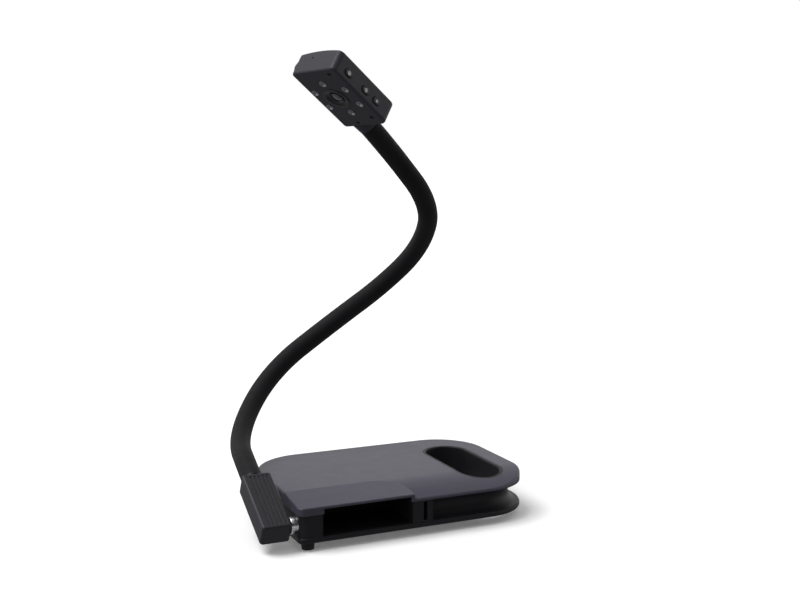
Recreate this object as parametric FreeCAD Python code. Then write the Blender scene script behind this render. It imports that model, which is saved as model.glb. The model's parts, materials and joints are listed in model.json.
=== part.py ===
import FreeCAD, Part

# A gooseneck document camera: a flat desk base, a hinged arm block at its left side, a flexible
# neck and a small camera head with a ring of lamps. Millimetres. The origin is the middle of the
# base on the desk, +X to the right, +Y to the back and +Z up.
import math
import os
from FreeCAD import Matrix, Placement, Rotation, Vector

# ---- base ----
BASE_LENGTH = 232.0
BASE_DEPTH = 160.0
FRONT_LEFT_RADIUS = 6.0
SHELL_FRONT_LEFT_RADIUS = 10.0
BACK_LEFT_RADIUS = 52.0
RIGHT_RADIUS = 48.0
FOOT_HEIGHT = 7.0
FOOT_RADIUS = 6.2
FOOT_PLUG_RADIUS = 3.5
FOOT_PLUG_HEIGHT = 2.5
FOOT_PLACES = [(-105.5, -70.0), (-84.0, 58.0), (86.0, 60.0), (104.0, -38.0)]
PLATE_TOP = 11.7
COVER_BOTTOM = 31.4
COVER_TOP = 41.4
COVER_SKIN = 2.6
COVER_EDGE_RADIUS = 2.4
ROLL_START = -36.0
ROLL_RADIUS = 128.0
SHELL_INSET = 1.0
BAY_WALL = 3.6
BAY_BACK = -18.0
BAY_RADII = [6.4, 1.0, 1.0, 1.0]
GROOVE_RADIUS = 9.55
GROOVE_INSET = 1.5
GROOVE_WALL = 13.0
GROOVE_START_Y = -15.0
GROOVE_FINISH_X = 8.5
PILLAR_SLOT_LEFT = -0.5
PILLAR_SLOT_RIGHT = 3.1
PILLAR_SLOT_MARGIN = 1.5
FIT = 0.1
REACH = 150.0

# ---- raised panel over the pocket ----
PANEL_RIGHT = -9.4
PANEL_BACK = -39.0
PANEL_RADIUS = 25.0
PANEL_BACK_Z = 42.2
PANEL_FRONT_Z = 38.1
PANEL_OUTLINE_FILLET = 1.4
PANEL_STEP_FILLET = 0.3

# ---- pocket that holds the camera head ----
POCKET_LEFT = -94.0
POCKET_RIGHT = -12.4
POCKET_BACK = -26.0
POCKET_FLOOR = 12.0
POCKET_ROOF = 36.0
LINER_WALL = 1.2

# ---- carrying handle, an opening through the right end ----
HANDLE_LEFT = 54.0
HANDLE_RIGHT = 94.0
HANDLE_FRONT = -60.0
HANDLE_BACK = 46.0
HANDLE_RADIUS = 20.0
HANDLE_WALL = 3.2
HANDLE_RIM_RADIUS = 1.4

# ---- screws in the bottom of the base ----
COVER_SCREW_PLACES = [(-103.0, -27.0), (-60.0, 57.0), (40.0, 57.0), (40.0, -57.0), (-46.0, -20.0)]
BRACKET_SCREW_PLACES = [(-104.0, -48.0), (-104.0, -39.0)]
BOTTOM_SCREW_PLACES = COVER_SCREW_PLACES + BRACKET_SCREW_PLACES
BOTTOM_SCREW_CLEARANCE = 1.6
BOTTOM_SCREW_PILOT = 1.45
COVER_POST_RADIUS = 4.0

# ---- circuit board and data socket inside the base ----
BALLAST_HEIGHT = 4.5
POST_CLEARANCE = 4.6
SOCKET_X = -12.0
SOCKET_Z = 21.5
SOCKET_FRONT = 57.8
SOCKET_BACK = 69.0
BOARD_Z = 20.0
BOARD_THICKNESS = 1.6
BOARD_LEFT = -62.0
BOARD_RIGHT = 6.0
BOARD_FRONT = 8.0
BOARD_BACK = 57.4
BOARD_POST_PLACES = [(-57.0, 13.0), (1.0, 13.0), (-57.0, 44.0), (1.0, 44.0)]

# ---- arm hinge and arm block ----
HINGE_Y = -65.7
HINGE_Z = 20.64
ARM_TILT = 27.0
SHAFT_RADIUS = 4.0
SHAFT_LEFT = -138.0
SHAFT_RIGHT = -100.4
RUNNING_GAP = 0.05
COLLAR_RADIUS = 7.4
BRACKET_LEFT = -112.2
BRACKET_RIGHT = -109.7
BRACKET_FRONT = -71.4
BRACKET_BACK = -24.0
BRACKET_TOP = 31.0
BRACKET_FLOOR_RIGHT = -98.7
WASHER_LEFT = BRACKET_RIGHT + 0.1
WASHER_RIGHT = BRACKET_RIGHT + 1.2
SPRING_RIGHT = BRACKET_RIGHT + 2.6
NUT_RADIUS = 6.9
NUT_THICKNESS = 5.0
ARM_LEFT = -147.5
ARM_RIGHT = -121.3
ARM_BELOW_HINGE = 9.0
ARM_ABOVE_HINGE = 58.5
ARM_HALF_THICK = 9.9
ARM_WALL = 2.0
ARM_SCREW_PLACES = [(ARM_LEFT + 4.4, 16.0), (ARM_RIGHT - 4.4, 16.0)]
HUB_RADIUS = 6.6
GRIP_RADIUS = 7.0
GRIP_START = 37.0
PLUG_RADIUS = 5.45
RIB_COUNT = 5
RIB_DEPTH = 0.9

# ---- neck ----
NECK_RADIUS = 9.4
CORE_RADIUS = 4.9
CORE_BORE = 5.0
BALL_RADIUS = 9.24
CUP_RADIUS = 9.56
CUP_EDGE = 5.16
NECK_X = -135.6
NECK_ROOT = 60.5
# The places where one neck length ends and the next begins, from the arm block up to the head.
NECK_STATIONS = [
    (-132.5, 29.0, 61.5),
    (-98.0, 94.0, 98.0),
    (-49.5, 103.5, 141.5),
    (11.5, 95.5, 185.0),
    (48.0, 76.0, 220.5),
    (54.0, 28.5, 268.0),
    (31.0, 11.5, 307.5),
    (-16.73, 4.33, 357.73),
]

# ---- camera head, in its own frame: x to the far end, y to the left, z out of the lens ----
LONG_AIM = Vector(-0.765, -0.295, 0.572)
LENS_AIM = Vector(-0.512, -0.26, -0.819)
HEAD_FAR = 37.1
HEAD_NEAR = -40.5
HEAD_BUTTON_SIDE = -28.2
HEAD_DIAL_SIDE = 24.0
HEAD_CORNER_RADII = [7.0, 5.0, 3.6, 3.6]
HEAD_FACE_FILLET = 2.2
HEAD_BACK_FILLET = 2.0
HEAD_FACE_WALL = 2.2
HEAD_SEAM = -14.0
HEAD_BACK = -23.0
HEAD_CROWN_Y = 1.0
HEAD_CROWN_RADIUS = 140.0
HEAD_WALL = 1.8
COLLAR_END = -50.7
COLLAR_NECK_RADIUS = 9.6
COLLAR_HEAD_RADIUS = 9.9
NECK_END = -52.0
NECK_AXIS_Y = 9.4
NECK_AXIS_Z = -9.75
SPIGOT_RADIUS = 6.2
TURN_PIN_RADIUS = 3.0
TURN_PIN_HEAD = 4.6
LAMP_CIRCLE = 20.3
LAMP_SQUEEZE = 1.05
LAMP_CENTRE_Y = -1.4
LAMP_COUNT = 6
LAMP_CUP_RADIUS = 3.3
LAMP_RADIUS = 1.5
LAMP_BOARD_RADIUS = 23.4
BEZEL_RADIUS = 12.6
BEZEL_SPIGOT = 8.9
BEZEL_PROUD = 0.7
BARREL_RADIUS = 6.95
LENS_RADIUS = 4.95
LENS_CURVE = 11.0
BUTTON_PLACES = {"far_button": 20.5, "middle_button": -3.0, "near_button": -18.5}
BUTTON_LENGTH = 10.0
BUTTON_HEIGHT = 6.4
BUTTON_Z = -8.2
BUTTON_FACE = HEAD_BUTTON_SIDE - 0.9
BUTTON_BOARD_Y = HEAD_BUTTON_SIDE + 5.5
DIAL_X = 31.5
DIAL_Z = -11.5
DIAL_RADIUS = 7.0
DIAL_PROUD = 4.0
DIAL_THICKNESS = 5.0
DIAL_NOTCHES = 22
AXLE_RADIUS = 0.8
MICROPHONE_Y = 5.0
MICROPHONE_Z = -15.6
HEAD_SCREW_PLACES = [(31.0, -18.6), (-29.2, -18.5), (-34.9, 3.0)]

RIGHT_HAND = Vector(1, 0, 0)
BACKWARD = Vector(0, 1, 0)


def box(x0, x1, y0, y1, z0, z1):
    """A block between two corners."""
    return Part.makeBox(x1 - x0, y1 - y0, z1 - z0, Vector(x0, y0, z0))


def rod(radius, start, end):
    """A round bar between two points."""
    along = end - start
    return Part.makeCylinder(radius, along.Length, start, along)


def cone(start_radius, end_radius, start, end):
    """A tapered bar between two points."""
    along = end - start
    return Part.makeCone(start_radius, end_radius, along.Length, start, along)


def rounded_wire(x0, x1, y0, y1, radii, z=0.0):
    """A rectangle with arcs for corners: front left, front right, back right, back left."""
    corners = [
        (Vector(x0, y0, z), Vector(1, 0, 0), Vector(0, 1, 0)),
        (Vector(x1, y0, z), Vector(0, 1, 0), Vector(-1, 0, 0)),
        (Vector(x1, y1, z), Vector(-1, 0, 0), Vector(0, -1, 0)),
        (Vector(x0, y1, z), Vector(0, -1, 0), Vector(1, 0, 0)),
    ]
    arcs = []
    for (corner, ahead, inward), radius in zip(corners, radii):
        start = corner + inward * radius
        end = corner + ahead * radius
        centre = corner + (ahead + inward) * radius
        middle = centre - (ahead + inward).normalize() * radius
        arcs.append((start, middle, end))
    edges = []
    for index, (start, middle, end) in enumerate(arcs):
        edges.append(Part.Arc(start, middle, end).toShape())
        following = arcs[(index + 1) % len(arcs)][0]
        if (following - end).Length > 1e-6:
            edges.append(Part.LineSegment(end, following).toShape())
    return Part.Wire(edges)


def rounded_block(x0, x1, y0, y1, z0, z1, radius):
    """A block with upright corners rounded; radius is one number or four."""
    radii = radius if isinstance(radius, (list, tuple)) else [radius] * 4
    face = Part.Face(rounded_wire(x0, x1, y0, y1, radii, z0))
    return face.extrude(Vector(0, 0, z1 - z0))


def fused(shapes):
    """One solid made of several that touch or cross."""
    shapes = list(shapes)
    if len(shapes) == 1:
        return shapes[0]
    return shapes[0].multiFuse(shapes[1:]).removeSplitter()


def cut_away(shape, tools):
    """The shape with every tool taken out of it."""
    return shape.cut(fused(tools))


def soften(shape, radius, chosen):
    """Round the edges that chosen(edge) picks."""
    return shape.makeFillet(radius, [edge for edge in shape.Edges if chosen(edge)])


def level_edge(z, tolerance=0.01):
    """A test for edges that lie flat at one height."""
    def test(edge):
        return abs(edge.BoundBox.ZMin - z) < tolerance and abs(edge.BoundBox.ZMax - z) < tolerance
    return test


def screw(head_radius, head_height, shank_radius, length, drive_depth=1.0):
    """A cross-head screw: the head's top is at the origin and the shank runs down -Z."""
    body = fused([
        rod(head_radius, Vector(0, 0, -head_height), Vector(0, 0, 0)),
        rod(shank_radius, Vector(0, 0, -length), Vector(0, 0, -head_height)),
    ])
    arm = head_radius * 0.62
    slot = head_radius * 0.14
    cross = [
        box(-arm, arm, -slot, slot, -drive_depth, 1),
        box(-slot, slot, -arm, arm, -drive_depth, 1),
    ]
    return cut_away(body, cross)


def put(shape, point, turn=None):
    """A copy of the shape, turned and then moved."""
    moved = shape.copy()
    moved.Placement = Placement(point, turn or Rotation())
    return moved


def save(name, shape):
    """Write one sub-part."""
    solids = shape.Solids
    result = solids[0] if len(solids) == 1 else Part.makeCompound(solids)
    if not result.isValid():
        print("NOT VALID:", name)
    result.exportStep("parts/" + name + ".step")
    print(name, len(solids), "solids", round(result.Volume), "mm3")


# ---------------------------------------------------------------- base

def base_plan(inset, z0, z1, front_left=FRONT_LEFT_RADIUS):
    """The base's outline, drawn in by inset, as a block between two heights."""
    half_length = BASE_LENGTH / 2 - inset
    half_depth = BASE_DEPTH / 2 - inset
    radii = [
        max(front_left - inset, 1.0),
        RIGHT_RADIUS - inset,
        RIGHT_RADIUS - inset,
        BACK_LEFT_RADIUS - inset,
    ]
    return rounded_block(-half_length, half_length, -half_depth, half_depth, z0, z1, radii)


def top_limit(lower=0.0):
    """All the room under the cover's top, level at the back and rolling down to the front."""
    top = COVER_TOP - lower

    def rolled(angle):
        lean = math.radians(angle)
        return Vector(-REACH, ROLL_START - ROLL_RADIUS * math.sin(lean),
                      top - ROLL_RADIUS * (1 - math.cos(lean)))

    level_start = rolled(0)
    roll_end = rolled(35)
    corners = [level_start, Vector(-REACH, REACH, top), Vector(-REACH, REACH, 0),
               Vector(-REACH, roll_end.y, 0), roll_end]
    edges = [Part.LineSegment(a, b).toShape() for a, b in zip(corners, corners[1:])]
    edges.append(Part.Arc(roll_end, rolled(17.5), level_start).toShape())
    return Part.Face(Part.Wire(edges)).extrude(Vector(2 * REACH, 0, 0))


def panel():
    """The raised panel over the pocket, with a top that slopes down to the front."""
    slope = (PANEL_BACK_Z - PANEL_FRONT_Z) / (PANEL_BACK + BASE_DEPTH / 2)

    def on_top(y):
        return Vector(-REACH, y, PANEL_BACK_Z + slope * (y - PANEL_BACK))

    corners = [on_top(-REACH), on_top(0), Vector(-REACH, 0, 0), Vector(-REACH, -REACH, 0)]
    wedge = Part.Face(Part.makePolygon(corners + corners[:1])).extrude(Vector(2 * REACH, 0, 0))
    plan = rounded_block(-REACH, PANEL_RIGHT, -REACH, PANEL_BACK, COVER_BOTTOM, REACH,
                         [1, 1, PANEL_RADIUS, 1])
    block = base_plan(0.0, COVER_BOTTOM, REACH).common(plan).common(wedge)
    left = -BASE_LENGTH / 2 + FRONT_LEFT_RADIUS + 0.01
    front = -BASE_DEPTH / 2 + 0.01

    def on_outline(edge):
        bounds = edge.BoundBox
        return bounds.ZMin > COVER_BOTTOM + 1 and (bounds.XMax < left or bounds.YMax < front)

    def on_step(edge):
        bounds = edge.BoundBox
        return bounds.ZMin > COVER_BOTTOM + 1 and bounds.XMax > left and bounds.YMax > front

    block = soften(block, PANEL_OUTLINE_FILLET, on_outline)
    return soften(block, PANEL_STEP_FILLET, on_step)


def handle_block(grow, z0, z1):
    """The handle opening, made larger all round by grow."""
    return rounded_block(HANDLE_LEFT - grow, HANDLE_RIGHT + grow, HANDLE_FRONT - grow,
                         HANDLE_BACK + grow, z0, z1, HANDLE_RADIUS + grow)


def pocket_block(grow, front):
    """The head pocket, made larger by grow, and open at the front."""
    return box(POCKET_LEFT - grow, POCKET_RIGHT + grow, front, POCKET_BACK + grow,
               POCKET_FLOOR - grow, POCKET_ROOF + grow)


def groove():
    """The channel round the base that holds the neck when it is put away."""
    left = -BASE_LENGTH / 2 + GROOVE_INSET
    right = BASE_LENGTH / 2 - GROOVE_INSET
    front = -BASE_DEPTH / 2 + GROOVE_INSET
    back = BASE_DEPTH / 2 - GROOVE_INSET
    z = (PLATE_TOP + COVER_BOTTOM) / 2
    back_left = BACK_LEFT_RADIUS - GROOVE_INSET
    at_right = RIGHT_RADIUS - GROOVE_INSET
    start = Vector(left, GROOVE_START_Y, z)
    finish = Vector(GROOVE_FINISH_X, front, z)

    def corner(x, y, radius, x_sign, y_sign):
        centre = Vector(x - x_sign * radius, y - y_sign * radius, z)
        return centre + Vector(x_sign, y_sign, 0) * (radius * math.sqrt(0.5))

    points = [
        Vector(left, back - back_left, z), Vector(left + back_left, back, z),
        Vector(right - at_right, back, z), Vector(right, back - at_right, z),
        Vector(right, front + at_right, z), Vector(right - at_right, front, z),
    ]
    edges = [
        Part.LineSegment(start, points[0]).toShape(),
        Part.Arc(points[0], corner(left, back, back_left, -1, 1), points[1]).toShape(),
        Part.LineSegment(points[1], points[2]).toShape(),
        Part.Arc(points[2], corner(right, back, at_right, 1, 1), points[3]).toShape(),
        Part.LineSegment(points[3], points[4]).toShape(),
        Part.Arc(points[4], corner(right, front, at_right, 1, -1), points[5]).toShape(),
        Part.LineSegment(points[5], finish).toShape(),
    ]
    section = Part.Wire([Part.makeCircle(GROOVE_RADIUS, start, BACKWARD)])
    return Part.Wire(edges).makePipeShell([section], True, False)


def upright(radius, x, y, z0, z1):
    """A round bar standing at a place in the plan."""
    return rod(radius, Vector(x, y, z0), Vector(x, y, z1))


def rubber_foot():
    """A round foot with a stepped top that plugs into the bottom plate."""
    disc = cone(FOOT_RADIUS - 0.8, FOOT_RADIUS, Vector(0, 0, 0), Vector(0, 0, FOOT_HEIGHT))
    return fused([disc, upright(FOOT_PLUG_RADIUS, 0, 0, FOOT_HEIGHT, FOOT_HEIGHT + FOOT_PLUG_HEIGHT)])


def build_bottom_plate():
    plate = base_plan(0.0, FOOT_HEIGHT, PLATE_TOP)
    plate = soften(plate, 1.5, lambda e: level_edge(FOOT_HEIGHT)(e) or level_edge(PLATE_TOP)(e))
    cuts = [handle_block(HANDLE_WALL + FIT, 0, REACH),
            pocket_block(LINER_WALL + FIT, -BASE_DEPTH / 2 + COVER_SKIN - FIT)]
    for x, y in FOOT_PLACES:
        cuts.append(upright(FOOT_PLUG_RADIUS, x, y, 0, FOOT_HEIGHT + FOOT_PLUG_HEIGHT))
    for x, y in BOTTOM_SCREW_PLACES:
        cuts.append(upright(BOTTOM_SCREW_CLEARANCE, x, y, 0, REACH))
        cuts.append(upright(3.1, x, y, 0, FOOT_HEIGHT + 2.2))
    save("base_bottom_plate", cut_away(plate, cuts))

    feet = [put(rubber_foot(), Vector(x, y, 0)) for x, y in FOOT_PLACES]
    save("rubber_feet", Part.makeCompound(feet))

    upside_down = Rotation(RIGHT_HAND, 180)
    small = screw(2.9, 1.8, 1.4, 12.0)
    level = FOOT_HEIGHT + 0.3
    save("bottom_screws", Part.makeCompound(
        [put(small, Vector(x, y, level), upside_down) for x, y in BOTTOM_SCREW_PLACES]))


def build_side_shell():
    z0 = PLATE_TOP - 1
    z1 = COVER_BOTTOM + 1
    shell = base_plan(SHELL_INSET, PLATE_TOP, COVER_BOTTOM, SHELL_FRONT_LEFT_RADIUS)
    inside = base_plan(GROOVE_WALL, z0, z1)
    hinge_bay = rounded_block(-BASE_LENGTH / 2 + BAY_WALL, POCKET_LEFT - LINER_WALL - 2.4,
                              -BASE_DEPTH / 2 + BAY_WALL, BAY_BACK, z0, z1, BAY_RADII)
    shell = cut_away(shell, [inside, hinge_bay, pocket_block(LINER_WALL + FIT, -REACH)])
    collar_hole = across(COLLAR_RADIUS + FIT, ARM_RIGHT, BRACKET_LEFT)
    pillar_slot = box(PILLAR_SLOT_LEFT, PILLAR_SLOT_RIGHT, -REACH, -BASE_DEPTH / 2 + 8,
                      PLATE_TOP + PILLAR_SLOT_MARGIN, COVER_BOTTOM - PILLAR_SLOT_MARGIN)
    for tool in (groove(), collar_hole, socket_hole(), pillar_slot):
        shell = shell.cut(tool)
    save("base_side_shell", shell)


def build_cover():
    cover = base_plan(0.0, COVER_BOTTOM, COVER_TOP + 1).common(top_limit())
    rim = [e for e in cover.Edges if e.BoundBox.ZMin > COVER_BOTTOM + 0.5
           and not (e.BoundBox.YLength < 0.01 and abs(e.BoundBox.YMin - ROLL_START) < 0.01)]
    cover = cover.makeFillet(COVER_EDGE_RADIUS, rim)
    cover = cover.fuse(panel()).removeSplitter()
    hollow = base_plan(COVER_SKIN, COVER_BOTTOM - 1, COVER_TOP).common(top_limit(COVER_SKIN))
    liner_front = -BASE_DEPTH / 2 + COVER_SKIN
    mouth = box(POCKET_LEFT, POCKET_RIGHT, -REACH, liner_front + 1, POCKET_FLOOR, POCKET_ROOF)
    cover = cut_away(cover, [hollow, mouth, handle_block(HANDLE_WALL + FIT, 0, REACH),
                             pocket_block(LINER_WALL + FIT, liner_front)])
    posts = []
    for x, y in COVER_SCREW_PLACES:
        post = upright(COVER_POST_RADIUS, x, y, PLATE_TOP + FIT, REACH).common(top_limit(1.0))
        posts.append(post.cut(upright(BOTTOM_SCREW_PILOT, x, y, 0, PLATE_TOP + 12)))
    save("base_top_cover", fused([cover] + posts))

    liner = pocket_block(LINER_WALL, liner_front)
    save("head_pocket_liner", liner.cut(pocket_block(0.0, -REACH)))

    sleeve = handle_block(HANDLE_WALL, FOOT_HEIGHT, REACH).common(top_limit())
    sleeve = sleeve.cut(handle_block(0, 0, REACH))
    inner_rim = [e for e in sleeve.Edges if e.BoundBox.ZMin > COVER_BOTTOM
                 and HANDLE_LEFT - 0.1 < e.BoundBox.XMin and e.BoundBox.XMax < HANDLE_RIGHT + 0.1]
    save("handle_sleeve", sleeve.makeFillet(HANDLE_RIM_RADIUS, inner_rim))


# ---------------------------------------------------------------- inside the base

def socket_hole():
    """The window in the back wall where the data lead plugs in."""
    return box(SOCKET_X - 6.1, SOCKET_X + 6.1, SOCKET_FRONT, REACH, SOCKET_Z - 5.6, SOCKET_Z + 5.6)


def build_inside():
    ballast_top = PLATE_TOP + BALLAST_HEIGHT
    ballast = rounded_block(-90, 44, -16, 57, PLATE_TOP, ballast_top, [8, 8, 8, 34])
    gaps = [upright(POST_CLEARANCE, x, y, 0, REACH) for x, y in COVER_SCREW_PLACES]
    save("ballast_plate", cut_away(ballast, gaps))

    board_top = BOARD_Z + BOARD_THICKNESS
    board = rounded_block(BOARD_LEFT, BOARD_RIGHT, BOARD_FRONT, BOARD_BACK, BOARD_Z, board_top, 2)
    board = cut_away(board, [upright(1.5, x, y, 0, REACH) for x, y in BOARD_POST_PLACES] + gaps)
    save("main_circuit_board", board)
    chips = [
        box(-40, -24, 20, 36, board_top, board_top + 1.4),
        box(-18, -8, 16, 24, board_top, board_top + 1.1),
        box(-18, -8, 28, 36, board_top, board_top + 1.1),
        upright(3.0, -48, 30, board_top, board_top + 7),
    ]
    save("board_chips", Part.makeCompound(chips))
    posts = []
    for x, y in BOARD_POST_PLACES:
        post = upright(2.6, x, y, ballast_top, BOARD_Z)
        posts.append(post.cut(upright(1.1, x, y, 0, REACH)))
    save("board_posts", Part.makeCompound(posts))
    screws = [put(screw(2.4, 1.2, 1.0, 4.0, 0.7), Vector(x, y, board_top + 1.2))
              for x, y in BOARD_POST_PLACES]
    save("board_screws", Part.makeCompound(screws))

    x = SOCKET_X
    z = SOCKET_Z
    socket = box(x - 6, x + 6, SOCKET_FRONT, SOCKET_BACK, z - 5.5, z + 5.5)
    mouth = box(x - 4.3, x + 4.3, SOCKET_FRONT + 2.6, REACH, z - 3.9, z + 3.9)
    tongue = box(x - 2.8, x + 2.8, SOCKET_FRONT + 2.1, SOCKET_FRONT + 5.1, z - 1.6, z + 1.6)
    save("usb_socket", fused([socket.cut(mouth), tongue]))


# ---------------------------------------------------------------- arm hinge and arm block

def across(radius, x0, x1):
    """A round bar on the hinge line between two places along X."""
    return rod(radius, Vector(x0, HINGE_Y, HINGE_Z), Vector(x1, HINGE_Y, HINGE_Z))


def build_hinge():
    wall = box(BRACKET_LEFT, BRACKET_RIGHT, BRACKET_FRONT, BRACKET_BACK, PLATE_TOP, BRACKET_TOP)
    floor = box(BRACKET_LEFT, BRACKET_FLOOR_RIGHT, -52, -38, PLATE_TOP, PLATE_TOP + 2.0)
    bracket = soften(fused([wall, floor]), 4.0,
                     lambda e: abs(e.BoundBox.ZMin - BRACKET_TOP) < 0.01 and e.Length < 3
                     and abs(e.BoundBox.YLength) < 0.01)
    bores = [across(SHAFT_RADIUS + RUNNING_GAP, ARM_RIGHT, SHAFT_RIGHT)]
    for x, y in BRACKET_SCREW_PLACES:
        bores.append(upright(BOTTOM_SCREW_CLEARANCE, x, y, 0, PLATE_TOP + 6))
    save("hinge_bracket", cut_away(bracket, bores))

    collar_left = ARM_RIGHT + 0.4
    collar = across(COLLAR_RADIUS, collar_left, BRACKET_LEFT)
    collar = soften(collar, 1.4, lambda e: abs(e.BoundBox.XMax - collar_left) < 0.01)
    save("hinge_collar", collar.cut(across(SHAFT_RADIUS + RUNNING_GAP, ARM_RIGHT, SHAFT_RIGHT)))

    save("hinge_shaft", across(SHAFT_RADIUS, SHAFT_LEFT, SHAFT_RIGHT))
    shaft_hole = across(SHAFT_RADIUS, SHAFT_LEFT, SHAFT_RIGHT)
    save("friction_washer", across(7.0, WASHER_LEFT, WASHER_RIGHT).cut(shaft_hole))
    spring = cone(5.2, 7.2, Vector(WASHER_RIGHT, HINGE_Y, HINGE_Z),
                  Vector(SPRING_RIGHT, HINGE_Y, HINGE_Z))
    save("spring_washer", spring.cut(shaft_hole))
    corners = []
    for step in range(7):
        angle = math.radians(60 * step)
        corners.append(Vector(SPRING_RIGHT, HINGE_Y + NUT_RADIUS * math.cos(angle),
                              HINGE_Z + NUT_RADIUS * math.sin(angle)))
    nut = Part.Face(Part.makePolygon(corners)).extrude(Vector(NUT_THICKNESS, 0, 0))
    save("hinge_nut", nut.cut(shaft_hole))


def arm_placed(shape):
    """Turn a piece drawn lying flat, with the hinge at the origin, to the arm's resting tilt."""
    return put(shape, Vector(0, HINGE_Y, HINGE_Z), Rotation(RIGHT_HAND, ARM_TILT))


def arm_direction():
    tilt = math.radians(ARM_TILT)
    return Vector(0, math.cos(tilt), math.sin(tilt))


def build_arm():
    outer = rounded_block(ARM_LEFT, ARM_RIGHT, -ARM_BELOW_HINGE, ARM_ABOVE_HINGE,
                          -ARM_HALF_THICK, ARM_HALF_THICK, 3.0)
    outer = soften(outer, 2.0, level_edge(ARM_HALF_THICK))
    outer = soften(outer, 2.0, level_edge(-ARM_HALF_THICK))
    inner = rounded_block(ARM_LEFT + ARM_WALL, ARM_RIGHT - ARM_WALL,
                          -ARM_BELOW_HINGE + ARM_WALL, ARM_ABOVE_HINGE - ARM_WALL,
                          -ARM_HALF_THICK + ARM_WALL, ARM_HALF_THICK - ARM_WALL, 1.5)
    hub = rod(HUB_RADIUS, Vector(ARM_LEFT + ARM_WALL, 0, 0), Vector(ARM_RIGHT - ARM_WALL, 0, 0))
    grip = rod(GRIP_RADIUS, Vector(NECK_X, GRIP_START - 3, 0),
               Vector(NECK_X, ARM_ABOVE_HINGE - ARM_WALL, 0))
    inner = inner.cut(fused([hub, grip]).common(inner))
    shaft_bore = rod(SHAFT_RADIUS, Vector(SHAFT_LEFT, 0, 0), Vector(SHAFT_RIGHT, 0, 0))
    neck_bore = rod(PLUG_RADIUS + RUNNING_GAP, Vector(NECK_X, GRIP_START - 1, 0),
                    Vector(NECK_X, REACH, 0))
    block = cut_away(outer, [inner, shaft_bore, neck_bore])

    front_half = block.common(box(-2 * REACH, 0, -REACH, REACH, 0, REACH))
    pitch = (ARM_RIGHT - ARM_LEFT - 8.0) / RIB_COUNT
    channels = []
    for number in range(RIB_COUNT):
        x = ARM_LEFT + 5.4 + pitch * (number + 0.5)
        channels.append(rounded_block(x - 0.8, x + 0.8, -6.5, ARM_ABOVE_HINGE - 3.5,
                                      ARM_HALF_THICK - RIB_DEPTH, REACH, 0.75))
    posts = []
    for x, y in ARM_SCREW_PLACES:
        post = rod(2.2, Vector(x, y, 0), Vector(x, y, ARM_HALF_THICK - 1.0))
        posts.append(post.cut(rod(1.05, Vector(x, y, -1), Vector(x, y, 6.0))))
    front_half = cut_away(front_half, channels)
    save("arm_front_shell", arm_placed(fused([front_half] + posts)))

    back_half = block.common(box(-2 * REACH, 0, -REACH, REACH, -REACH, 0))
    back_posts = []
    holes = []
    for x, y in ARM_SCREW_PLACES:
        back_posts.append(rod(2.6, Vector(x, y, -ARM_HALF_THICK + 1.0), Vector(x, y, 0)))
        holes.append(rod(1.1, Vector(x, y, -20), Vector(x, y, 1)))
        holes.append(rod(2.1, Vector(x, y, -20), Vector(x, y, -ARM_HALF_THICK + 3.0)))
    back_half = cut_away(fused([back_half] + back_posts), holes)
    save("arm_back_shell", arm_placed(back_half))
    upside_down = Rotation(RIGHT_HAND, 180)
    screws = [put(screw(2.0, 1.2, 1.0, 10.0, 0.7), Vector(x, y, -ARM_HALF_THICK + 1.6), upside_down)
              for x, y in ARM_SCREW_PLACES]
    save("arm_screws", arm_placed(Part.makeCompound(screws)))

    block_end = Vector(NECK_X, ARM_ABOVE_HINGE, 0)
    neck_foot = Vector(NECK_X, NECK_ROOT, 0)
    plug = rod(PLUG_RADIUS, Vector(NECK_X, GRIP_START, 0), block_end)
    flange = rod(NECK_RADIUS, block_end, neck_foot)
    ball = Part.makeSphere(BALL_RADIUS, neck_foot)
    ball = ball.common(box(-2 * REACH, 0, NECK_ROOT - 1, REACH, -REACH, REACH))
    save("neck_ferrule", arm_placed(fused([plug, flange, ball])))


# ---------------------------------------------------------------- neck

def neck_start():
    return Vector(NECK_X, HINGE_Y, HINGE_Z) + arm_direction() * NECK_ROOT


def neck_arcs():
    """Arcs through the stations, each leaving along the end of the one before it."""
    start = neck_start()
    heading = arm_direction()
    arcs = []
    for station in NECK_STATIONS:
        end = Vector(*station)
        chord = end - start
        chord_length = chord.Length
        towards = Vector(chord).normalize()
        half_turn = math.acos(max(-1.0, min(1.0, heading.dot(towards))))
        sideways = (towards - heading * math.cos(half_turn)).normalize()
        bend_radius = chord_length / (2 * math.sin(half_turn))
        leaving = heading * math.cos(2 * half_turn) + sideways * math.sin(2 * half_turn)
        arcs.append({"start": start, "end": end, "entering": heading, "leaving": leaving,
                     "radius": bend_radius, "turn": 2 * half_turn,
                     "centre": start + sideways * bend_radius, "axis": heading.cross(sideways),
                     "length": bend_radius * 2 * half_turn})
        start = end
        heading = leaving
    return arcs


def tube(arc, radius):
    """A solid round bar along one arc."""
    section = Part.Face(Part.Wire([Part.makeCircle(radius, arc["start"], arc["entering"])]))
    return section.revolve(arc["centre"], arc["axis"], math.degrees(arc["turn"]))


def ball_on(radius, centre, along):
    """A ball whose poles lie along a direction."""
    return put(Part.makeSphere(radius), centre, Rotation(Vector(0, 0, 1), along))


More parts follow.
